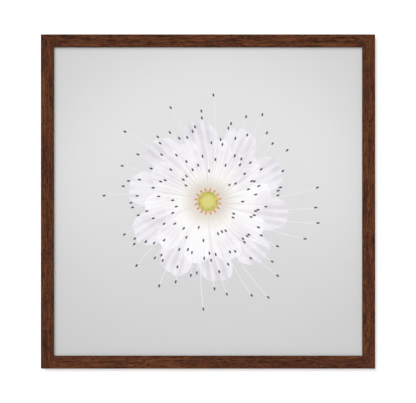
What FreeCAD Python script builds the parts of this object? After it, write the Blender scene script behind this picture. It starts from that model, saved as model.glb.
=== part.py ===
import FreeCAD, Part
import math
import os
import Sketcher

# Floater frame for a panel-mounted print, hung by two D-rings.
# +X is the viewer's right, the front faces -Y, the wall is at +Y, +Z is up.
# The origin is on the underside, half way across and half way through the depth.
# Every body is drawn about the frame's centre and raised by half the outer height.

Vector = FreeCAD.Vector

DIMENSIONS = {
    "print_side": 500,
    "float_gap": 0.5,
    "rail_face": 20.5,
    "rail_depth": 38,
    "foot_reach": 18,
    "foot_thick": 9,
    "arris": 0.6,
    "recess": 5,
    "print_thick": 0.3,
    "skin_thick": 0.3,
    "core_thick": 2.4,
    "tape_thick": 0.7,
    "tape_wide": 18,
    "tape_split": 1,
    "batten_depth": 18,
    "batten_wide": 26,
    "batten_inset": 3,
    "washer_radius": 6,
    "washer_thick": 2,
    "fixing_inset": 31,
    "fixing_spread": 180,
    "fixing_length": 25,
    "screw_head_radius": 3.5,
    "screw_radius": 1.75,
    "screw_tip": 3,
    "screw_play": 0.05,
    "recess_arm": 1.8,
    "recess_wide": 0.9,
    "recess_deep": 1.2,
    "small_recess": 0.75,
    "nail_outer_inset": 7,
    "nail_inner_inset": 15,
    "nail_leg": 9,
    "nail_thick": 0.8,
    "nail_deep": 12,
    "nail_slot_over": 1,
    "tip_room": 1,
    "brace_leg": 50,
    "brace_wide": 14,
    "brace_thick": 1.5,
    "brace_line": 18,
    "brace_screw_first": 29,
    "brace_screw_step": 22,
    "brace_screw_length": 12,
    "brace_screw_radius": 1.4,
    "brace_head_radius": 2.7,
    "pad_spread": 120,
    "pad_length": 30,
    "pad_deep": 14,
    "hanger_drop": 136,
    "hanger_inset": 15,
    "strap_wide": 14,
    "strap_length": 42,
    "strap_thick": 2,
    "strap_corner": 5,
    "eye_wall": 1,
    "hanger_screw_first": 21,
    "hanger_screw_step": 14,
    "hanger_screw_length": 16,
    "pan_head_height": 2.2,
    "pan_head_edge": 0.9,
    "ring_wire": 1.25,
    "ring_play": 0.08,
    "ring_bar_half": 7.75,
    "ring_corner": 2.5,
    "ring_lean": 7,
    "bumper_radius": 7,
    "bumper_thick": 6,
    "bumper_edge": 1,
    "bumper_inset": 22,
}

# Distances from the frame's centre towards a rail.
OUTER = "(dims.print_side / 2 + dims.float_gap + dims.rail_face)"
WALL = "(dims.print_side / 2 + dims.float_gap)"
FOOT = f"({WALL} - dims.foot_reach)"
PANEL = "(dims.print_side / 2)"
BATTEN_OUT = f"({PANEL} - dims.batten_inset)"
BATTEN_IN = f"({BATTEN_OUT} - dims.batten_wide)"
FIXING_LINE = f"({OUTER} - dims.fixing_inset)"
BRACE_LINE = f"({BATTEN_OUT} - dims.brace_line)"
HANGER_LINE = f"({OUTER} - dims.hanger_inset)"
HANGER_HEIGHT = f"({OUTER} - dims.hanger_drop)"

# Depths along Y, from the front of the rails to the back of the bumpers.
FRONT = "(-(dims.rail_depth + dims.bumper_thick) / 2)"
BACK = f"({FRONT} + dims.rail_depth)"
FOOT_FRONT = f"({BACK} - dims.foot_thick)"
PRINT_FACE = f"({FRONT} + dims.recess)"
SKIN_FACE = f"({PRINT_FACE} + dims.print_thick)"
CORE_FACE = f"({SKIN_FACE} + dims.skin_thick)"
CORE_BACK = f"({CORE_FACE} + dims.core_thick)"
PANEL_BACK = f"({CORE_BACK} + dims.skin_thick)"
TAPE_BACK = f"({PANEL_BACK} + dims.tape_thick)"
BATTEN_BACK = f"({TAPE_BACK} + dims.batten_depth)"
BRACE_BACK = f"({BATTEN_BACK} + dims.brace_thick)"
EYE_RADIUS = "(dims.ring_wire + dims.ring_play + dims.eye_wall)"
EYE_DEPTH = f"({BACK} + {EYE_RADIUS})"
STRAP_BACK = f"({BACK} + dims.strap_thick)"

# Sizes of the three kinds of screw; cross is the recess's size against that of a full-sized screw.
FIXING_SCREW = {
    "radius": "dims.screw_radius",
    "length": "dims.fixing_length",
    "head": "dims.screw_head_radius",
    "cross": "1",
}
HANGER_SCREW = {
    "radius": "dims.screw_radius",
    "length": "dims.hanger_screw_length",
    "head": "dims.screw_head_radius",
    "cross": "1",
}
BRACE_SCREW = {
    "radius": "dims.brace_screw_radius",
    "length": "dims.brace_screw_length",
    "head": "dims.brace_head_radius",
    "cross": "dims.small_recess",
}

# Two lengths closer than this are the same, and an edge or a cut smaller than this isn't one.
NEAR = 0.01
LEAST_EDGE = 1

doc = FreeCAD.newDocument("floating_frame")
nodes = []


def add_dimensions():
    sheet = doc.addObject("Spreadsheet::Sheet", "dims")
    for row, (alias, value) in enumerate(DIMENSIONS.items(), start=1):
        sheet.set(f"A{row}", alias)
        sheet.set(f"B{row}", str(value))
        sheet.setAlias(f"B{row}", alias)
    doc.recompute()


def add_body(name, turn=0):
    """A body drawn about the frame's centre, turned about Y by a number of degrees."""
    body = doc.addObject("PartDesign::Body", name)
    body.Label = name
    body.Placement = FreeCAD.Placement(Vector(), FreeCAD.Rotation(Vector(0, 1, 0), turn))
    body.setExpression("Placement.Base.z", OUTER)
    nodes.append(body)
    return body


def origin_feature(body, role):
    return next(feature for feature in body.Origin.OriginFeatures if feature.Role == role)


def add_sketch(body, name, role="XZ_Plane", offset=None):
    """An empty sketch on an origin plane, moved along the plane's normal by an expression."""
    sketch = body.newObject("Sketcher::SketchObject", name)
    sketch.AttachmentSupport = [(origin_feature(body, role), "")]
    sketch.MapMode = "FlatFace"
    if offset is not None:
        sketch.setExpression("AttachmentOffset.Base.z", offset)
    return sketch


def at_depth(depth):
    """The offset that puts a sketch of the XZ plane, whose normal is -Y, at this depth along Y."""
    return f"-({depth})"


def bind(sketch, constraint, expression):
    index = sketch.addConstraint(constraint)
    sketch.setExpression(f"Constraints[{index}]", expression)


def pin_point(sketch, geometry, place, x, y):
    """Holds one point of the sketch at coordinates given as expressions."""
    start_x = sketch.evalExpression(x)
    start_y = sketch.evalExpression(y)
    bind(sketch, Sketcher.Constraint("DistanceX", -1, 1, geometry, place, start_x), x)
    bind(sketch, Sketcher.Constraint("DistanceY", -1, 1, geometry, place, start_y), y)


def draw_polygon(sketch, corners):
    """A closed outline through corners, each a pair of expressions."""
    places = [Vector(sketch.evalExpression(x), sketch.evalExpression(y), 0) for x, y in corners]
    edges = []
    for start, end in zip(places, places[1:] + places[:1]):
        edges.append(sketch.addGeometry(Part.LineSegment(start, end)))
    for edge, following in zip(edges, edges[1:] + edges[:1]):
        sketch.addConstraint(Sketcher.Constraint("Coincident", edge, 2, following, 1))
    for edge, (x, y) in zip(edges, corners):
        pin_point(sketch, edge, 1, x, y)


def draw_rectangle(sketch, left, right, low, high):
    draw_polygon(sketch, [(left, low), (right, low), (right, high), (left, high)])


def draw_circle(sketch, x, y, radius):
    centre = Vector(sketch.evalExpression(x), sketch.evalExpression(y), 0)
    size = sketch.evalExpression(radius)
    circle = sketch.addGeometry(Part.Circle(centre, Vector(0, 0, 1), size))
    pin_point(sketch, circle, 3, x, y)
    bind(sketch, Sketcher.Constraint("Radius", circle, size), radius)


def draw_bar(sketch, start, end):
    """A stretch of the horizontal axis."""
    places = [Vector(sketch.evalExpression(x), 0, 0) for x in (start, end)]
    line = sketch.addGeometry(Part.LineSegment(*places))
    pin_point(sketch, line, 1, start, "0")
    pin_point(sketch, line, 2, end, "0")


def draw_arc(sketch, x, y, radius, start_angle, end_angle):
    """An arc whose ends are level with its centre, or straight above or below it."""
    centre = Vector(sketch.evalExpression(x), sketch.evalExpression(y), 0)
    size = sketch.evalExpression(radius)
    circle = Part.Circle(centre, Vector(0, 0, 1), size)
    arc = sketch.addGeometry(Part.ArcOfCircle(circle, math.radians(start_angle), math.radians(end_angle)))
    pin_point(sketch, arc, 3, x, y)
    bind(sketch, Sketcher.Constraint("Radius", arc, size), radius)
    for place, angle in ((1, start_angle), (2, end_angle)):
        if angle % 180 == 0:
            bind(sketch, Sketcher.Constraint("DistanceY", -1, 1, arc, place, centre.y), y)
        else:
            bind(sketch, Sketcher.Constraint("DistanceX", -1, 1, arc, place, centre.x), x)


def add_pad(body, name, sketch, length, both_ways=False):
    pad = body.newObject("PartDesign::Pad", name)
    pad.Profile = sketch
    pad.Midplane = both_ways
    pad.setExpression("Length", length)
    doc.recompute()
    return pad


def must_cut(feature, before):
    if feature.Shape.Volume >= before - NEAR:
        raise RuntimeError(f"{feature.Name} cuts nothing")


def add_pocket(body, name, sketch, depth, towards_front=True):
    before = body.Shape.Volume
    pocket = body.newObject("PartDesign::Pocket", name)
    pocket.Profile = sketch
    pocket.Reversed = towards_front
    pocket.setExpression("Length", depth)
    doc.recompute()
    must_cut(pocket, before)
    return pocket


def add_holes(body, name, sketch, radius, depth=None, head_radius=None):
    """Drilled holes that run forwards from the sketch, through or blind, countersunk or plain."""
    before = body.Shape.Volume
    doc.recompute()
    hole = body.newObject("PartDesign::Hole", name)
    hole.Profile = sketch
    doc.recompute()
    hole.Reversed = True
    hole.setExpression("Diameter", f"2 * ({radius})")
    if depth is None:
        hole.DepthType = "ThroughAll"
    else:
        hole.DepthType = "Dimension"
        hole.setExpression("Depth", depth)
    if head_radius is not None:
        hole.HoleCutType = "Countersink"
        hole.HoleCutCountersinkAngle = 90
        hole.setExpression("HoleCutDiameter", f"2 * ({head_radius})")
    doc.recompute()
    must_cut(hole, before)
    return hole


def long_edges(shape, depth, height):
    """Names of the edges that run along X at one depth and height."""
    names = []
    for number, edge in enumerate(shape.Edges, start=1):
        ends = [vertex.Point for vertex in edge.Vertexes]
        if len(ends) != 2 or abs(ends[0].x - ends[1].x) < LEAST_EDGE:
            continue
        if all(abs(end.y - depth) < NEAR and abs(end.z - height) < NEAR for end in ends):
            names.append(f"Edge{number}")
    return names


def add_pattern(body, name, originals, steps):
    """Repeats features: each step is a function that makes one transformation."""
    pattern = body.newObject("PartDesign::MultiTransform", name)
    transformations = [step(body, f"{name}_{number}") for number, step in enumerate(steps)]
    pattern.Originals = originals
    pattern.Transformations = transformations
    body.Tip = pattern
    doc.recompute()
    return pattern


def four_sides(body, name):
    step = body.newObject("PartDesign::PolarPattern", name)
    step.Axis = (origin_feature(body, "Y_Axis"), [""])
    step.Angle = 360
    step.Occurrences = 4
    return step


def left_and_right(body, name):
    step = body.newObject("PartDesign::Mirrored", name)
    step.MirrorPlane = (origin_feature(body, "YZ_Plane"), [""])
    return step


def in_a_row(role, length, count):
    def make(body, name):
        step = body.newObject("PartDesign::LinearPattern", name)
        step.Direction = (origin_feature(body, role), [""])
        step.setExpression("Length", length)
        step.Occurrences = count
        return step
    return make


def mitred_outline(sketch, outer, inner):
    """A strip along the bottom between two distances from the centre, its ends cut at 45 degrees."""
    draw_polygon(sketch, [
        (f"-{outer}", f"-{outer}"),
        (outer, f"-{outer}"),
        (inner, f"-{inner}"),
        (f"-{inner}", f"-{inner}"),
    ])


def nail_distances():
    return [f"({OUTER} - dims.nail_outer_inset)", f"({OUTER} - dims.nail_inner_inset)"]


def make_rail(name, turn, hanger_side=0):
    """An L-section rail, drawn as the bottom one: a wall, a foot behind the panel, and its holes."""
    body = add_body(name, turn)
    wall = add_sketch(body, f"{name}_wall_outline", offset=at_depth(BACK))
    mitred_outline(wall, OUTER, WALL)
    pad = add_pad(body, f"{name}_wall", wall, "dims.rail_depth")
    front = pad.evalExpression(FRONT)
    edges = []
    for distance in (OUTER, WALL):
        edges += long_edges(pad.Shape, front, -pad.evalExpression(distance))
    arrises = body.newObject("PartDesign::Fillet", f"{name}_arrises")
    arrises.Base = (pad, edges)
    arrises.setExpression("Radius", "dims.arris")
    doc.recompute()
    foot = add_sketch(body, f"{name}_foot_outline", offset=at_depth(BACK))
    mitred_outline(foot, WALL, FOOT)
    add_pad(body, f"{name}_foot", foot, "dims.foot_thick")

    slots = add_sketch(body, f"{name}_nail_slots", offset=at_depth(BACK))
    for distance in nail_distances():
        low = f"-{distance} - dims.nail_thick / 2"
        high = f"-{distance} + dims.nail_thick / 2"
        outside = f"{distance} + dims.nail_slot_over"
        inside = f"{distance} - dims.nail_leg"
        draw_rectangle(slots, f"-({outside})", f"-({inside})", low, high)
        draw_rectangle(slots, inside, outside, low, high)
    add_pocket(body, f"{name}_nail_pocket", slots, "dims.nail_deep")

    centres = add_sketch(body, f"{name}_fixing_centres", offset=at_depth(BACK))
    for side in (-1, 0, 1):
        draw_circle(centres, f"{side} * dims.fixing_spread", f"-{FIXING_LINE}", "dims.screw_radius")
    clearance = "dims.screw_radius + dims.screw_play"
    sink = "dims.screw_head_radius + dims.screw_play"
    add_holes(body, f"{name}_fixing_holes", centres, clearance, head_radius=sink)

    if hanger_side:
        pilots = add_sketch(body, f"{name}_hanger_centres", offset=at_depth(BACK))
        for height in hanger_screw_heights():
            draw_circle(pilots, f"{hanger_side} * {height}", f"-{HANGER_LINE}", "dims.screw_radius")
        add_holes(body, f"{name}_hanger_holes", pilots, clearance, depth="dims.hanger_screw_length")


def make_v_nails():
    """Two bent strips across each mitre, driven in from behind."""
    body = add_body("v_nails")
    outline = add_sketch(body, "v_nail_outlines", offset=at_depth(BACK))
    half = "dims.nail_thick / 2"
    for distance in nail_distances():
        near = f"-{distance} - {half}"
        far = f"-{distance} + {half}"
        tip = f"-{distance} + dims.nail_leg"
        draw_polygon(outline, [(near, near), (tip, near), (tip, far), (far, far), (far, tip), (near, tip)])
    pad = add_pad(body, "v_nail_corner", outline, "dims.nail_deep")
    add_pattern(body, "v_nail_corners", [pad], [four_sides])


def make_layer(name, face, thickness):
    """One square sheet of the panel."""
    layer = doc.addObject("Part::Box", name)
    layer.Label = name
    layer.setExpression("Length", "dims.print_side")
    layer.setExpression("Width", thickness)
    layer.setExpression("Height", "dims.print_side")
    layer.setExpression("Placement.Base.x", f"-{PANEL}")
    layer.setExpression("Placement.Base.y", face)
    layer.setExpression("Placement.Base.z", f"{OUTER} - {PANEL}")
    nodes.append(layer)


def make_bond_tapes():
    """Four strips that follow each other round the back of the panel."""
    body = add_body("bond_tapes")
    outline = add_sketch(body, "tape_outline", offset=at_depth(TAPE_BACK))
    out = f"({BATTEN_OUT} - (dims.batten_wide - dims.tape_wide) / 2)"
    end = f"{out} - dims.tape_wide - dims.tape_split"
    draw_rectangle(outline, f"-{out}", end, f"-{out}", f"-{out} + dims.tape_wide")
    pad = add_pad(body, "tape", outline, "dims.tape_thick")
    add_pattern(body, "tapes", [pad], [four_sides])


def brace_screw_places():
    far = f"({BATTEN_OUT} - dims.brace_screw_first)"
    return [far, f"({far} - dims.brace_screw_step)"]


def make_batten(name, turn):
    """A mitred pine batten with pilot holes for the fixing screws and the brace screws."""
    body = add_body(name, turn)
    outline = add_sketch(body, f"{name}_outline", offset=at_depth(BATTEN_BACK))
    mitred_outline(outline, BATTEN_OUT, BATTEN_IN)
    add_pad(body, f"{name}_strip", outline, "dims.batten_depth")

    fixings = add_sketch(body, f"{name}_fixing_centres", offset=at_depth(BATTEN_BACK))
    for side in (-1, 0, 1):
        draw_circle(fixings, f"{side} * dims.fixing_spread", f"-{FIXING_LINE}", "dims.screw_radius")
    bite = "dims.fixing_length - dims.foot_thick - dims.washer_thick + dims.tip_room"
    add_holes(body, f"{name}_fixing_holes", fixings, "dims.screw_radius + dims.screw_play", depth=bite)

    braces = add_sketch(body, f"{name}_brace_centres", offset=at_depth(BATTEN_BACK))
    for place in brace_screw_places():
        draw_circle(braces, place, f"-{BRACE_LINE}", "dims.brace_screw_radius")
        draw_circle(braces, f"-{place}", f"-{BRACE_LINE}", "dims.brace_screw_radius")
    bite = "dims.brace_screw_length - dims.brace_thick + dims.tip_room"
    add_holes(body, f"{name}_brace_holes", braces, "dims.brace_screw_radius + dims.screw_play", depth=bite)


def make_corner_braces():
    """Flat L-shaped steel plates behind the sub-frame's mitres."""
    body = add_body("corner_braces")
    outline = add_sketch(body, "brace_outline", offset=at_depth(BRACE_BACK))
    out = f"({BRACE_LINE} + dims.brace_wide / 2)"
    near = f"-{out}"
    far = f"-{out} + dims.brace_wide"
    tip = f"-{out} + dims.brace_leg"
    draw_polygon(outline, [(near, near), (tip, near), (tip, far), (far, far), (far, tip), (near, tip)])
    pad = add_pad(body, "brace", outline, "dims.brace_thick")
    centres = add_sketch(body, "brace_hole_centres", offset=at_depth(BRACE_BACK))
    for place in brace_screw_places():
        draw_circle(centres, f"-{place}", f"-{BRACE_LINE}", "dims.brace_screw_radius")
        draw_circle(centres, f"-{BRACE_LINE}", f"-{place}", "dims.brace_screw_radius")
    clearance = "dims.brace_screw_radius + dims.screw_play"
    sink = "dims.brace_head_radius + dims.screw_play"
    holes = add_holes(body, "brace_holes", centres, clearance, head_radius=sink)
    add_pattern(body, "braces", [pad, holes], [four_sides])


def draw_screw_profile(sketch, axis, back, head, radius, length):
    """Half of a screw's outline beside its axis, which runs forwards from the back of its head."""
    side = f"{axis} + {radius}"
    shoulder = f"{back} - {length} + dims.screw_tip"
    tip = f"{back} - {length}"
    corners = [(axis, back)] + head + [(side, shoulder), (axis, tip)]
    draw_polygon(sketch, corners)
    line = sketch.addGeometry(Part.LineSegment(Vector(0, 0, 0), Vector(0, -1, 0)), True)
    pin_point(sketch, line, 1, axis, back)
    pin_point(sketch, line, 2, axis, tip)


def draw_cross(sketch, x, y, arm, half):
    """A cross recess about a point."""
    steps = [(-1, 0), (0, -1), (1, 0), (0, 1)]
    corners = []
    for right, up in steps:
        for turn in (1, -1):
            along_x = f"{x} + {right} * {arm} + {up * turn} * {half}"
            along_y = f"{y} + {up} * {arm} - {right * turn} * {half}"
            corners.append((along_x, along_y))
        inner_x = f"{x} + {right - up} * {half}"
        inner_y = f"{y} + {up + right} * {half}"
        corners.append((inner_x, inner_y))
    draw_polygon(sketch, corners)


def make_screws(name, kind, place, back, steps, pan=False):
    """Cross-head screws, countersunk or pan-headed: the first one, and the pattern that repeats it."""
    axis, line = place
    radius = kind["radius"]
    length = kind["length"]
    head_radius = kind["head"]
    body = add_body(name)
    profile = add_sketch(body, f"{name}_profile", role="XY_Plane", offset=line)
    if pan:
        top = f"{back} + dims.pan_head_height"
        head = [
            (f"{axis} + {head_radius} - dims.pan_head_edge", top),
            (f"{axis} + {head_radius}", f"{top} - dims.pan_head_edge"),
            (f"{axis} + {head_radius}", back),
            (f"{axis} + {radius}", back),
        ]
    else:
        top = back
        head = [
            (f"{axis} + {head_radius}", back),
            (f"{axis} + {radius}", f"{back} - {head_radius} + {radius}"),
        ]
    total = f"({length} + {top} - {back})"
    draw_screw_profile(profile, axis, top, head, radius, total)
    turned = body.newObject("PartDesign::Revolution", f"{name}_turned")
    turned.Profile = profile
    turned.ReferenceAxis = (profile, ["Axis0"])
    turned.Angle = 360
    doc.recompute()
    cross = add_sketch(body, f"{name}_cross", offset=at_depth(top))
    arm = f"{kind['cross']} * dims.recess_arm"
    half = f"{kind['cross']} * dims.recess_wide / 2"
    draw_cross(cross, axis, line, arm, half)
    recess = add_pocket(body, f"{name}_recess", cross, "dims.recess_deep")
    add_pattern(body, f"{name}_all", [turned, recess], steps)


def make_washers():
    body = add_body("spacer_washers")
    outline = add_sketch(body, "washer_outlines", offset=at_depth(FOOT_FRONT))
    draw_circle(outline, "-dims.fixing_spread", f"-{FIXING_LINE}", "dims.washer_radius")
    draw_circle(outline, "-dims.fixing_spread", f"-{FIXING_LINE}", "dims.screw_radius + dims.screw_play")
    pad = add_pad(body, "washer", outline, "dims.washer_thick")
    row = in_a_row("X_Axis", "2 * dims.fixing_spread", 3)
    add_pattern(body, "washers", [pad], [row, four_sides])


def make_centring_pads():
    """Cork strips between the sub-frame and the walls of the rails, two on each side."""
    body = add_body("centring_pads")
    middle = f"(({TAPE_BACK} + {BATTEN_BACK}) / 2)"
    outline = add_sketch(body, "centring_pad_outline", offset=at_depth(f"{middle} + dims.pad_deep / 2"))
    left = "-dims.pad_spread - dims.pad_length / 2"
    right = "-dims.pad_spread + dims.pad_length / 2"
    draw_rectangle(outline, left, right, f"-{WALL}", f"-{BATTEN_OUT}")
    pad = add_pad(body, "centring_pad", outline, "dims.pad_deep")
    add_pattern(body, "centring_pads_all", [pad], [left_and_right, four_sides])


def hanger_screw_heights():
    first = f"({HANGER_HEIGHT} - dims.hanger_screw_first)"
    return [first, f"({first} - dims.hanger_screw_step)"]


def place_on_hinge(body, side):
    """Moves a hanger piece from the centre to the hinge axis on one side rail."""
    body.setExpression("Placement.Base.x", f"{side} * {HANGER_LINE}")
    body.setExpression("Placement.Base.y", EYE_DEPTH)
    body.setExpression("Placement.Base.z", f"{OUTER} + {HANGER_HEIGHT}")


def make_strap(name, side):
    """A strap folded round the ring's bar, drawn about the hinge axis, with two screw holes."""
    body = add_body(name)
    place_on_hinge(body, side)
    half = "dims.strap_wide / 2"
    outline = add_sketch(body, f"{name}_outline", offset=at_depth(f"dims.strap_thick - {EYE_RADIUS}"))
    draw_rectangle(outline, f"-{half}", half, "-dims.strap_length", "0")
    plate = add_pad(body, f"{name}_plate", outline, "dims.strap_thick")
    corners = []
    for number, edge in enumerate(plate.Shape.Edges, start=1):
        ends = [vertex.Point for vertex in edge.Vertexes]
        runs_through = abs(ends[0].y - ends[1].y) > LEAST_EDGE
        if runs_through and ends[0].z < -LEAST_EDGE:
            corners.append(f"Edge{number}")
    rounded = body.newObject("PartDesign::Fillet", f"{name}_corners")
    rounded.Base = (plate, corners)
    rounded.setExpression("Radius", "dims.strap_corner")
    doc.recompute()
    rim = add_sketch(body, f"{name}_eye_outline", role="YZ_Plane")
    draw_circle(rim, "0", "0", EYE_RADIUS)
    add_pad(body, f"{name}_eye", rim, "dims.strap_wide", both_ways=True)
    bore = add_sketch(body, f"{name}_bore_outline", role="YZ_Plane")
    draw_circle(bore, "0", "0", "dims.ring_wire + dims.ring_play")
    before = body.Shape.Volume
    pocket = body.newObject("PartDesign::Pocket", f"{name}_bore")
    pocket.Profile = bore
    pocket.Midplane = True
    pocket.setExpression("Length", "2 * dims.strap_wide")
    doc.recompute()
    must_cut(pocket, before)
    centres = add_sketch(body, f"{name}_hole_centres", offset=at_depth(f"dims.strap_thick - {EYE_RADIUS}"))
    first = "-dims.hanger_screw_first"
    for height in (first, f"{first} - dims.hanger_screw_step"):
        draw_circle(centres, "0", height, "dims.screw_radius")
    add_holes(body, f"{name}_holes", centres, "dims.screw_radius + dims.screw_play")


def make_ring(name, side):
    """A D of round wire: a straight bar through the strap's eye, and a half circle below it."""
    body = add_body(name)
    place_on_hinge(body, side)
    turn = FreeCAD.Rotation(Vector(1, 0, 0), DIMENSIONS["ring_lean"])
    body.Placement = FreeCAD.Placement(body.Placement.Base, turn)
    spine = add_sketch(body, f"{name}_spine")
    half = "dims.ring_bar_half"
    corner = "dims.ring_corner"
    draw_bar(spine, "0", half)
    draw_arc(spine, half, f"-{corner}", corner, 0, 90)
    draw_arc(spine, "0", f"-{corner}", f"{half} + {corner}", 180, 360)
    draw_arc(spine, f"-{half}", f"-{corner}", corner, 90, 180)
    draw_bar(spine, f"-{half}", "0")
    section = add_sketch(body, f"{name}_section", role="YZ_Plane")
    draw_circle(section, "0", "0", "dims.ring_wire")
    doc.recompute()
    wire = body.newObject("PartDesign::AdditivePipe", f"{name}_wire")
    wire.Profile = section
    wire.Spine = spine
    doc.recompute()


def make_bumpers():
    """Soft buttons near the four back corners that stand the frame off the wall."""
    body = add_body("wall_bumpers")
    line = f"({OUTER} - dims.bumper_inset)"
    outline = add_sketch(body, "bumper_outline", offset=at_depth(f"{BACK} + dims.bumper_thick"))
    draw_circle(outline, f"-{line}", f"-{line}", "dims.bumper_radius")
    pad = add_pad(body, "bumper", outline, "dims.bumper_thick")
    back = pad.evalExpression(f"{BACK} + dims.bumper_thick")
    rim = []
    for number, edge in enumerate(pad.Shape.Edges, start=1):
        if abs(edge.BoundBox.YMin - back) < NEAR and edge.Closed:
            rim.append(f"Edge{number}")
    bevel = body.newObject("PartDesign::Chamfer", "bumper_bevel")
    bevel.Base = (pad, rim)
    bevel.setExpression("Size", "dims.bumper_edge")
    doc.recompute()
    add_pattern(body, "bumpers", [pad, bevel], [four_sides])


def check_and_write():
    for thing in doc.Objects:
        if "Invalid" in thing.State or "Error" in thing.State:
            raise RuntimeError(f"{thing.Name} failed: {thing.State}")
    for node in nodes:
        if node.Shape.isNull() or not node.Shape.isValid():
            raise RuntimeError(f"{node.Label} has no valid shape")
    os.makedirs("parts", exist_ok=True)
    for node in nodes:
        node.Shape.exportStep(f"parts/{node.Label}.step")
        box = node.Shape.BoundBox
        print(f"{node.Label:18} solids {len(node.Shape.Solids):2}  {node.Shape.Volume:10.1f} mm3")
        low = (round(box.XMin, 2), round(box.YMin, 2), round(box.ZMin, 2))
        high = (round(box.XMax, 2), round(box.YMax, 2), round(box.ZMax, 2))
        print(f"    from {low} to {high}")


add_dimensions()
make_rail("rail_bottom", 0)
make_rail("rail_top", 180)
make_rail("rail_left", 90, hanger_side=-1)
make_rail("rail_right", -90, hanger_side=1)
make_v_nails()
make_layer("print_sheet", PRINT_FACE, "dims.print_thick")
make_layer("panel_front_skin", SKIN_FACE, "dims.skin_thick")
make_layer("panel_core", CORE_FACE, "dims.core_thick")
make_layer("panel_back_skin", CORE_BACK, "dims.skin_thick")
make_bond_tapes()
make_batten("batten_bottom", 0)
make_batten("batten_top", 180)
make_batten("batten_left", 90)
make_batten("batten_right", -90)
make_corner_braces()
make_screws(
    "brace_screws",
    BRACE_SCREW,
    (f"-{brace_screw_places()[0]}", f"-{BRACE_LINE}"),
    BRACE_BACK,
    [in_a_row("X_Axis", "dims.brace_screw_step", 2), left_and_right, four_sides],
)
make_washers()
make_screws(
    "fixing_screws",
    FIXING_SCREW,
    ("-dims.fixing_spread", f"-{FIXING_LINE}"),
    BACK,
    [in_a_row("X_Axis", "2 * dims.fixing_spread", 3), four_sides],
)
make_centring_pads()
make_strap("hanger_strap_left", -1)
make_strap("hanger_strap_right", 1)
make_ring("hanger_ring_left", -1)
make_ring("hanger_ring_right", 1)
make_screws(
    "hanger_screws",
    HANGER_SCREW,
    (f"-{HANGER_LINE}", hanger_screw_heights()[1]),
    STRAP_BACK,
    [in_a_row("Z_Axis", "dims.hanger_screw_step", 2), left_and_right],
    pan=True,
)
make_bumpers()
doc.recompute()
check_and_write()
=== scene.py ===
import math

import bpy
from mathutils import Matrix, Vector


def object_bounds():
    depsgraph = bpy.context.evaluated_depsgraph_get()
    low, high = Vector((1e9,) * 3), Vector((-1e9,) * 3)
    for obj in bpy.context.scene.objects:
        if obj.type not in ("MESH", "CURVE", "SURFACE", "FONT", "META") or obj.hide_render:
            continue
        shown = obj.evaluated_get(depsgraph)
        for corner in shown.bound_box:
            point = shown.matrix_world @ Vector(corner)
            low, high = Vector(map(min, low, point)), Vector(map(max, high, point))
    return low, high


# A walnut floater frame with a mounted print, seen straight on against a white wall.
# The CAD nodes keep their meshes; this script gives them their materials, light and view.

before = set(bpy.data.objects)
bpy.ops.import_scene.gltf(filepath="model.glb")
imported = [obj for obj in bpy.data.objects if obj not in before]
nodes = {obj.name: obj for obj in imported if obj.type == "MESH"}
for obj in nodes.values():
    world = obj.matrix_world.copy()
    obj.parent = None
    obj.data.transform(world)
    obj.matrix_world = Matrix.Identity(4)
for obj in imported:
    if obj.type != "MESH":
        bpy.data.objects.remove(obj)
cad_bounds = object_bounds()

VIEW_SHARE = 1.244  # width of the view over width of the frame
MM = 1000.0

low_corner, high_corner = cad_bounds
front_y = low_corner[1]
back_y = high_corner[1]
frame_width = high_corner[0] - low_corner[0]
centre_z = (low_corner[2] + high_corner[2]) / 2


# ---------------------------------------------------------------- shader graphs


def paint(red, green, blue):
    """A display colour, 0 to 255, as the linear colour that shaders take."""
    linear = []
    for value in (red, green, blue):
        share = value / 255
        linear.append(share / 12.92 if share <= 0.04045 else ((share + 0.055) / 1.055) ** 2.4)
    return (*linear, 1.0)


class Field:
    """A number or vector that varies over a surface; arithmetic on it adds nodes to its graph."""

    def __init__(self, graph, socket):
        self.graph = graph
        self.socket = socket

    def __add__(self, other):
        return self.graph.math("ADD", self, other)

    def __radd__(self, other):
        return self.graph.math("ADD", other, self)

    def __sub__(self, other):
        return self.graph.math("SUBTRACT", self, other)

    def __rsub__(self, other):
        return self.graph.math("SUBTRACT", other, self)

    def __mul__(self, other):
        return self.graph.math("MULTIPLY", self, other)

    def __rmul__(self, other):
        return self.graph.math("MULTIPLY", other, self)

    def __truediv__(self, other):
        return self.graph.math("DIVIDE", self, other)


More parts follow.
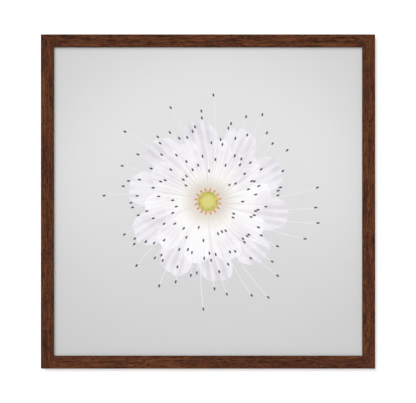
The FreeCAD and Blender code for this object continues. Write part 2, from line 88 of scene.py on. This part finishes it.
class Graph:
    """A new material and short names for the nodes that it is made of."""

    def __init__(self, name):
        self.material = bpy.data.materials.new(name)
        self.material.use_nodes = True
        self.tree = self.material.node_tree
        self.tree.nodes.clear()
        self.shader = self.node("ShaderNodeBsdfPrincipled")
        output = self.node("ShaderNodeOutputMaterial")
        self.tree.links.new(self.shader.outputs[0], output.inputs["Surface"])

    def node(self, kind, **settings):
        node = self.tree.nodes.new(kind)
        for name, value in settings.items():
            setattr(node, name, value)
        return node

    def feed(self, socket, value):
        if isinstance(value, Field):
            self.tree.links.new(value.socket, socket)
        else:
            socket.default_value = value

    def math(self, operation, *values):
        node = self.node("ShaderNodeMath", operation=operation)
        for socket, value in zip(node.inputs, values):
            self.feed(socket, value)
        return Field(self, node.outputs[0])

    def place(self):
        """The point's coordinates in the object's own space, in millimetres."""
        split = self.node("ShaderNodeSeparateXYZ")
        coordinates = self.node("ShaderNodeTexCoord")
        self.tree.links.new(coordinates.outputs["Object"], split.inputs[0])
        return [Field(self, socket) * MM for socket in split.outputs]

    def vector(self, x, y, z):
        node = self.node("ShaderNodeCombineXYZ")
        for socket, value in zip(node.inputs, (x, y, z)):
            self.feed(socket, value)
        return Field(self, node.outputs[0])

    def noise(self, where, scale, detail=2.0, roughness=0.5, distortion=0.0):
        node = self.node("ShaderNodeTexNoise")
        self.feed(node.inputs["Vector"], where)
        node.inputs["Scale"].default_value = scale
        node.inputs["Detail"].default_value = detail
        node.inputs["Roughness"].default_value = roughness
        node.inputs["Distortion"].default_value = distortion
        return Field(self, node.outputs["Fac"])

    def cells(self, where, scale):
        """Distance to the nearest of many scattered points, and that point's own colour."""
        node = self.node("ShaderNodeTexVoronoi")
        self.feed(node.inputs["Vector"], where)
        node.inputs["Scale"].default_value = scale
        return Field(self, node.outputs["Distance"]), Field(self, node.outputs["Color"])

    def chance(self, number, seed):
        """Three random numbers, 0 to 1, fixed by a whole number and a seed."""
        node = self.node("ShaderNodeTexWhiteNoise", noise_dimensions="2D")
        self.feed(node.inputs["Vector"], self.vector(number, seed, 0.0))
        split = self.node("ShaderNodeSeparateColor")
        self.tree.links.new(node.outputs["Color"], split.inputs[0])
        return [Field(self, socket) for socket in split.outputs]

    def ramp(self, value, start, end, low=0.0, high=1.0, smooth=True):
        """Goes from low to high as value goes from start to end, and stays there beyond."""
        node = self.node("ShaderNodeMapRange")
        node.interpolation_type = "SMOOTHSTEP" if smooth else "LINEAR"
        ends = {"Value": value, "From Min": start, "From Max": end, "To Min": low, "To Max": high}
        for name, number in ends.items():
            self.feed(node.inputs[name], number)
        return Field(self, node.outputs["Result"])

    def mix(self, share, first, second):
        """The first colour where share is 0, and the second where it is 1."""
        node = self.node("ShaderNodeMix", data_type="RGBA", clamp_factor=True)
        self.feed(node.inputs[0], share)
        self.feed(node.inputs[6], first)
        self.feed(node.inputs[7], second)
        return Field(self, node.outputs[2])

    def bump(self, height, distance, strength=1.0):
        node = self.node("ShaderNodeBump")
        node.inputs["Strength"].default_value = strength
        node.inputs["Distance"].default_value = distance
        self.feed(node.inputs["Height"], height)
        self.feed(self.shader.inputs["Normal"], Field(self, node.outputs[0]))

    def finish(self, colour, roughness, metallic=0.0, specular=0.5):
        self.feed(self.shader.inputs["Base Color"], colour)
        self.feed(self.shader.inputs["Roughness"], roughness)
        self.shader.inputs["Metallic"].default_value = metallic
        self.shader.inputs["Specular IOR Level"].default_value = specular
        return self.material


def dress(names, material):
    """Puts one material on CAD nodes."""
    for name in names:
        mesh = nodes[name].data
        mesh.materials.clear()
        mesh.materials.append(material)


# ---------------------------------------------------------------- camera, stage and light


def add_camera():
    """A long lens straight in front of the frame's centre."""
    camera = bpy.data.cameras.new("camera")
    camera.sensor_width = 36.0
    camera.lens = 300.0
    distance = VIEW_SHARE * frame_width * camera.lens / camera.sensor_width
    camera.clip_start = 0.05
    camera.clip_end = 50.0
    holder = bpy.data.objects.new("camera", camera)
    holder.location = (0.0, front_y - distance, centre_z)
    holder.rotation_euler = (math.radians(90), 0.0, 0.0)
    bpy.context.collection.objects.link(holder)
    bpy.context.scene.camera = holder


def add_plane(name, corners, material):
    mesh = bpy.data.meshes.new(name)
    mesh.from_pydata(corners, [], [(0, 1, 2, 3)])
    mesh.materials.append(material)
    plane = bpy.data.objects.new(name, mesh)
    bpy.context.collection.objects.link(plane)
    return plane


def wall_material():
    """White plaster that glows a little, so that only a close shadow shows; clear from behind."""
    graph = Graph("wall_white")
    x, y, z = graph.place()
    speckle = graph.noise(graph.vector(x, y, z), 0.4, detail=3.0)
    graph.finish(graph.mix(speckle, paint(194, 194, 194), paint(198, 198, 198)), 0.9, specular=0.0)
    graph.shader.inputs["Emission Color"].default_value = (1.0, 1.0, 1.0, 1.0)
    graph.shader.inputs["Emission Strength"].default_value = 0.47
    clear = graph.node("ShaderNodeBsdfTransparent")
    side = graph.node("ShaderNodeNewGeometry")
    choice = graph.node("ShaderNodeMixShader")
    graph.tree.links.new(side.outputs["Backfacing"], choice.inputs[0])
    graph.tree.links.new(graph.shader.outputs[0], choice.inputs[1])
    graph.tree.links.new(clear.outputs[0], choice.inputs[2])
    output = next(node for node in graph.tree.nodes if node.bl_idname == "ShaderNodeOutputMaterial")
    graph.tree.links.new(choice.outputs[0], output.inputs["Surface"])
    return graph.material


def floor_material():
    graph = Graph("floor_pale")
    x, y, z = graph.place()
    cloud = graph.noise(graph.vector(x, y, z), 0.01, detail=4.0)
    return graph.finish(graph.mix(cloud, paint(228, 228, 226), paint(236, 236, 234)), 0.8, specular=0.2)


def add_stage():
    """A wall that the bumpers touch, and a floor below, out of the main view."""
    wall_half, wall_top, floor_drop, floor_half = 1.6, 2.2, 0.12, 4.0
    floor_z = low_corner[2] - floor_drop
    wall = add_plane("wall", [
        (-wall_half, back_y, floor_z), (wall_half, back_y, floor_z),
        (wall_half, back_y, wall_top), (-wall_half, back_y, wall_top),
    ], wall_material())
    floor = add_plane("floor", [
        (-floor_half, -floor_half, floor_z), (floor_half, -floor_half, floor_z),
        (floor_half, floor_half, floor_z), (-floor_half, floor_half, floor_z),
    ], floor_material())
    wall.visible_shadow = False
    wall.visible_diffuse = False
    wall.visible_glossy = False
    return wall, floor


def add_group(name, members):
    """A collection that lights are linked to."""
    group = bpy.data.collections.new(name)
    for member in members:
        group.objects.link(member)
    return group


def add_sun(name, direction, strength, softness, lit):
    """A sun that shines along a direction, on the objects of one collection only."""
    light = bpy.data.lights.new(name, "SUN")
    light.energy = strength
    light.angle = math.radians(softness)
    holder = bpy.data.objects.new(name, light)
    holder.rotation_euler = Vector(direction).to_track_quat("-Z", "Y").to_euler()
    bpy.context.collection.objects.link(holder)
    holder.light_linking.receiver_collection = lit


def add_lights(wall, floor):
    """A soft window from the upper left for the frame, and a nearly frontal one for the wall."""
    room = add_group("lit_by_room", list(nodes.values()) + [floor])
    add_sun("key", (0.46, 0.86, -0.46), 2.43, 50.0, room)
    add_sun("back_fill", (-0.3, -0.9, -0.5), 1.9, 60.0, room)
    add_sun("wall_key", (0.12, 1.0, -0.15), 3.0, 10.0, add_group("lit_wall", [wall]))
    world = bpy.data.worlds.new("studio")
    world.use_nodes = True
    background = world.node_tree.nodes["Background"]
    background.inputs["Color"].default_value = (1.0, 1.0, 1.0, 1.0)
    background.inputs["Strength"].default_value = 0.25
    bpy.context.scene.world = world
    bpy.context.scene.view_settings.view_transform = "Standard"


# ---------------------------------------------------------------- wood


def along(axis, x, y, z, stretch):
    """Coordinates shortened along the grain, so that a texture runs with it."""
    if axis == "X":
        return (x * stretch, y, z)
    return (x, y, z * stretch)


def walnut(name, axis, shift):
    """Oiled walnut: broad figure, fine fibres and short dark pores that follow the rail."""
    graph = Graph(name)
    x, y, z = graph.place()
    x = x + shift
    y = y + 0.7 * shift
    streak = graph.vector(*along(axis, x, y, z, 0.065))
    figure = graph.noise(streak, 0.26, detail=4.0, roughness=0.66, distortion=0.3)
    fibre = graph.noise(streak, 0.85, detail=3.0, roughness=0.7)
    thread = graph.noise(graph.vector(*along(axis, x, y, z, 0.08)), 2.2, detail=2.0)
    gap = graph.noise(graph.vector(*along(axis, x, y, z, 0.26)), 0.55, detail=1.0, roughness=0.4)
    spread = graph.noise(graph.vector(x, y, z), 0.035, detail=1.0)
    pore = graph.ramp(gap + 0.1 * spread, 0.6, 0.72)
    tone = 0.35 * figure + 0.5 * fibre + 0.15 * thread
    colour = graph.mix(graph.ramp(tone, 0.405, 0.605, smooth=False), paint(33, 14, 5), paint(118, 66, 37))
    hue = graph.noise(graph.vector(*along(axis, x, y, z, 0.1)), 0.16, detail=3.0)
    colour = graph.mix(graph.ramp(hue, 0.5, 0.68, 0.0, 0.7), colour, paint(74, 36, 27))
    colour = graph.mix(graph.ramp(hue, 0.48, 0.34, 0.0, 0.3), colour, paint(96, 60, 26))
    colour = graph.mix(pore * 0.7, colour, paint(34, 16, 10))
    roughness = graph.ramp(tone, 0.3, 0.7, 0.64, 0.5) + 0.12 * pore
    graph.bump(0.3 * fibre + 0.2 * thread - 0.9 * pore, 0.0002, strength=0.6)
    return graph.finish(colour, roughness, specular=0.1)


def pine(name, axis, shift):
    """Planed pine: pale wood with darker growth lines."""
    graph = Graph(name)
    x, y, z = graph.place()
    x = x + shift
    y = y + 1.3 * shift
    rings = graph.noise(graph.vector(*along(axis, x, y, z, 0.02)), 0.22, detail=2.0, distortion=0.8)
    fibre = graph.noise(graph.vector(*along(axis, x, y, z, 0.03)), 1.6, detail=3.0, roughness=0.7)
    line = graph.ramp(graph.math("SINE", rings * 60.0), 0.2, 1.0)
    colour = graph.mix(line * 0.55, paint(222, 190, 142), paint(190, 138, 84))
    colour = graph.mix(graph.ramp(fibre, 0.3, 0.75, 0.0, 0.45), colour, paint(205, 168, 118))
    graph.bump(fibre, 0.0002, strength=0.5)
    return graph.finish(colour, 0.66 + 0.1 * fibre, specular=0.3)


# ---------------------------------------------------------------- other materials


def aluminium(name, axis):
    """Thin rolled sheet with fine parallel lines."""
    graph = Graph(name)
    x, y, z = graph.place()
    lines = graph.noise(graph.vector(*along(axis, x, y, z, 0.01)), 3.0, detail=2.0)
    band = graph.noise(graph.vector(*along(axis, x, y, z, 0.02)), 0.3, detail=3.0)
    colour = graph.mix(0.5 * band + 0.5 * lines, paint(186, 188, 190), paint(220, 222, 224))
    graph.bump(lines, 0.00004, strength=0.5)
    return graph.finish(colour, 0.34 + 0.16 * lines, metallic=1.0)


def zinc(name):
    """Bright zinc plate, slightly cloudy, with small scratches."""
    graph = Graph(name)
    x, y, z = graph.place()
    cloud = graph.noise(graph.vector(x, y, z), 0.25, detail=4.0)
    scratch = graph.noise(graph.vector(x * 0.1, y, z), 4.0, detail=1.0)
    colour = graph.mix(cloud, paint(176, 180, 186), paint(214, 216, 218))
    graph.bump(cloud + 0.5 * scratch, 0.00003, strength=0.5)
    return graph.finish(colour, 0.24 + 0.18 * cloud, metallic=1.0)


def cork(name):
    graph = Graph(name)
    where = graph.vector(*graph.place())
    distance, tint = graph.cells(where, 0.9)
    speck = graph.noise(where, 1.5, detail=3.0)
    colour = graph.mix(graph.ramp(tint, 0.2, 0.8), paint(150, 104, 62), paint(196, 150, 102))
    colour = graph.mix(graph.ramp(speck, 0.62, 0.72), colour, paint(84, 52, 30))
    graph.bump(distance + speck, 0.0003, strength=0.6)
    return graph.finish(colour, 0.85, specular=0.2)


def rubber(name):
    graph = Graph(name)
    where = graph.vector(*graph.place())
    grain = graph.noise(where, 3.0, detail=3.0)
    colour = graph.mix(grain, paint(26, 26, 27), paint(44, 44, 45))
    graph.bump(grain, 0.0001, strength=0.5)
    return graph.finish(colour, 0.7 + 0.15 * grain, specular=0.3)


def plastic(name, dark, light):
    graph = Graph(name)
    where = graph.vector(*graph.place())
    grain = graph.noise(where, 1.2, detail=3.0)
    graph.bump(grain, 0.0001, strength=0.4)
    return graph.finish(graph.mix(grain, paint(*dark), paint(*light)), 0.55 + 0.15 * grain, specular=0.4)


# ---------------------------------------------------------------- the printed picture


class Picture:
    """A generic round flower, worked out from formulas in millimetres from the print's centre."""

    PETAL_RINGS = (  # length, turn in petals, seed, shaded colour, lit colour
        (132.0, 0.5, 3.0, (214, 210, 217), (238, 236, 241)),
        (104.0, 0.0, 7.0, (224, 219, 227), (249, 248, 250)),
    )
    PETALS = 10
    HEART_RADIUS = 17.0
    HEART_DOTS = 16
    DOT_SEED = 9.0
    THREAD_RINGS = (  # how many threads, the shortest, the longest, seed
        (44, 40.0, 96.0, 1.0),
        (52, 70.0, 140.0, 2.0),
        (40, 110.0, 186.0, 5.0),
    )
    THREAD_WIDTH = 1.2
    TIP_LONG = 2.9
    TIP_WIDE = 1.5
    SWIRL = 0.06  # degrees that the spokes turn for each millimetre out

    def __init__(self):
        self.graph = Graph("print_flower")
        x, y, z = self.graph.place()
        self.x = x
        self.z = z - centre_z * MM
        self.reach = self.distance(self.x, self.z)
        self.angle = self.graph.math("ARCTAN2", self.x, self.z) * (180 / math.pi) + self.reach * self.SWIRL
        self.tips = []

    def distance(self, x, z):
        return self.graph.math("SQRT", x * x + z * z)

    def inside(self, long_share, wide_share):
        """1 inside an oval whose half axes are both 1, and 0 outside it."""
        return self.graph.ramp(self.distance(long_share, wide_share), 0.75, 1.15, 1.0, 0.0)

    def spokes(self, count, seed, turn=0.0):
        """Chances of the spoke that a point is on, and its share of a spoke, -0.5 to 0.5, off the middle."""
        graph = self.graph
        place = self.angle * (count / 360) + turn
        number = graph.math("FLOOR", place)
        chances = graph.chance(graph.math("WRAP", number + 0.5, float(count), 0.0), seed)
        return chances, place - number - 0.5

    def background(self):
        """Pale neutral ground, a little darker below and towards the corners."""
        graph = self.graph
        colour = graph.mix(graph.ramp(self.z, -235.0, 120.0), paint(206, 207, 207), paint(221, 222, 222))
        return graph.mix(graph.ramp(self.reach, 170.0, 350.0, 0.0, 0.6), colour, paint(196, 197, 196))

    def petals(self, colour, length, turn, seed, shade, light):
        """An even ring of round-tipped petals, creased between one and the next."""
        graph = self.graph
        off = self.spokes(self.PETALS, seed, turn)[1]
        aside = 2.0 * graph.math("ABSOLUTE", off)
        ruffle = graph.noise(graph.vector(self.x, seed, self.z), 0.05, detail=3.0) - 0.5
        rim = length * (1.0 - 0.3 * aside * aside * aside) + 14.0 * ruffle
        body = graph.ramp(rim - self.reach, 0.0, 2.5)
        vein = graph.noise(graph.vector(aside * 5.0, self.reach * 0.006, seed), 1.0, detail=3.0)
        cloud = graph.noise(graph.vector(self.x, seed + 5.0, self.z), 0.024, detail=3.0)
        skin = graph.mix(graph.ramp(0.5 * vein + 0.5 * cloud, 0.36, 0.6), paint(*shade), paint(*light))
        skin = graph.mix(graph.ramp(aside, 0.72, 1.0, 0.0, 0.7), skin, paint(*shade))
        return graph.mix(body * 0.92, colour, skin)

    def threads(self, colour, count, shortest, longest, seed):
        """Thin pale filaments of many lengths, each with a dark tip that is kept for later."""
        graph = self.graph
        (shift, share, tone), off = self.spokes(count, seed)
        aside = (off + (shift - 0.5) * 0.5) * self.reach * (2 * math.pi / count)
        length = shortest + share * (longest - shortest)
        half = self.THREAD_WIDTH / 2
        line = graph.ramp(graph.math("ABSOLUTE", aside), half - 0.3, half + 0.4, 1.0, 0.0)
        line = line * graph.ramp(length - self.reach, 0.0, 1.0)
        line = line * graph.ramp(self.reach, self.HEART_RADIUS, 44.0)
        outer = graph.ramp(self.reach, 40.0, 120.0)
        thread = graph.mix(outer, paint(248, 247, 242), paint(232, 229, 238))
        colour = graph.mix(line * 0.88, colour, thread)
        tip = self.inside((self.reach - length) / self.TIP_LONG, aside / self.TIP_WIDE)
        self.tips.append((tip, graph.mix(tone, paint(58, 60, 88), paint(96, 88, 104))))
        return colour

    def heart(self, colour):
        """A yellow-green button in a warm shade, with a ring of amber dots round it."""
        graph = self.graph
        radius = self.HEART_RADIUS
        glow = graph.ramp(self.reach, radius, 3.0 * radius, 0.8, 0.0)
        colour = graph.mix(glow, colour, paint(214, 204, 188))
        grain = graph.noise(graph.vector(self.x, 1.0, self.z), 0.3, detail=3.0)
        green = graph.mix(graph.ramp(grain, 0.36, 0.62), paint(150, 148, 40), paint(204, 192, 90))
        green = graph.mix(graph.ramp(self.reach, 0.4 * radius, radius), paint(216, 208, 130), green)
        colour = graph.mix(graph.ramp(self.reach, radius - 2.5, radius + 1.5, 1.0, 0.0), colour, green)
        off = self.spokes(self.HEART_DOTS, self.DOT_SEED)[1]
        aside = off * self.reach * (2 * math.pi / self.HEART_DOTS)
        dot = self.inside((self.reach - 1.15 * radius) / self.TIP_LONG, aside / self.TIP_WIDE)
        return graph.mix(dot, colour, paint(218, 140, 84))

    def finish(self):
        graph = self.graph
        colour = self.background()
        for length, turn, seed, shade, light in self.PETAL_RINGS:
            colour = self.petals(colour, length, turn, seed, shade, light)
        for count, shortest, longest, seed in self.THREAD_RINGS:
            colour = self.threads(colour, count, shortest, longest, seed)
        for tip, dark in self.tips:
            colour = graph.mix(tip, colour, dark)
        colour = self.heart(colour)
        tooth = graph.noise(graph.vector(self.x, 0.0, self.z), 1.8, detail=3.0)
        graph.bump(tooth, 0.00003, strength=0.3)
        return graph.finish(colour, 0.55 + 0.08 * tooth, specular=0.12)


# ---------------------------------------------------------------- the whole

add_camera()
add_lights(*add_stage())

for number, (rail, axis) in enumerate(
    [("rail_bottom", "X"), ("rail_top", "X"), ("rail_left", "Z"), ("rail_right", "Z")]
):
    dress([rail], walnut(f"walnut_{rail}", axis, 310.0 * (number + 1)))
for number, (batten, axis) in enumerate(
    [("batten_bottom", "X"), ("batten_top", "X"), ("batten_left", "Z"), ("batten_right", "Z")]
):
    dress([batten], pine(f"pine_{batten}", axis, 270.0 * (number + 1)))
dress(["print_sheet"], Picture().finish())
dress(["panel_front_skin", "panel_back_skin"], aluminium("rolled_aluminium", "Z"))
dress(["panel_core"], plastic("black_polyethylene", (24, 24, 26), (38, 38, 40)))
dress(["bond_tapes"], plastic("grey_foam_tape", (92, 92, 94), (112, 112, 114)))
dress(
    ["v_nails", "corner_braces", "brace_screws", "fixing_screws", "hanger_strap_left", "hanger_strap_right",
     "hanger_ring_left", "hanger_ring_right", "hanger_screws"],
    zinc("zinc_plate"),
)
dress(["spacer_washers", "centring_pads"], cork("fine_cork"))
dress(["wall_bumpers"], rubber("soft_rubber"))
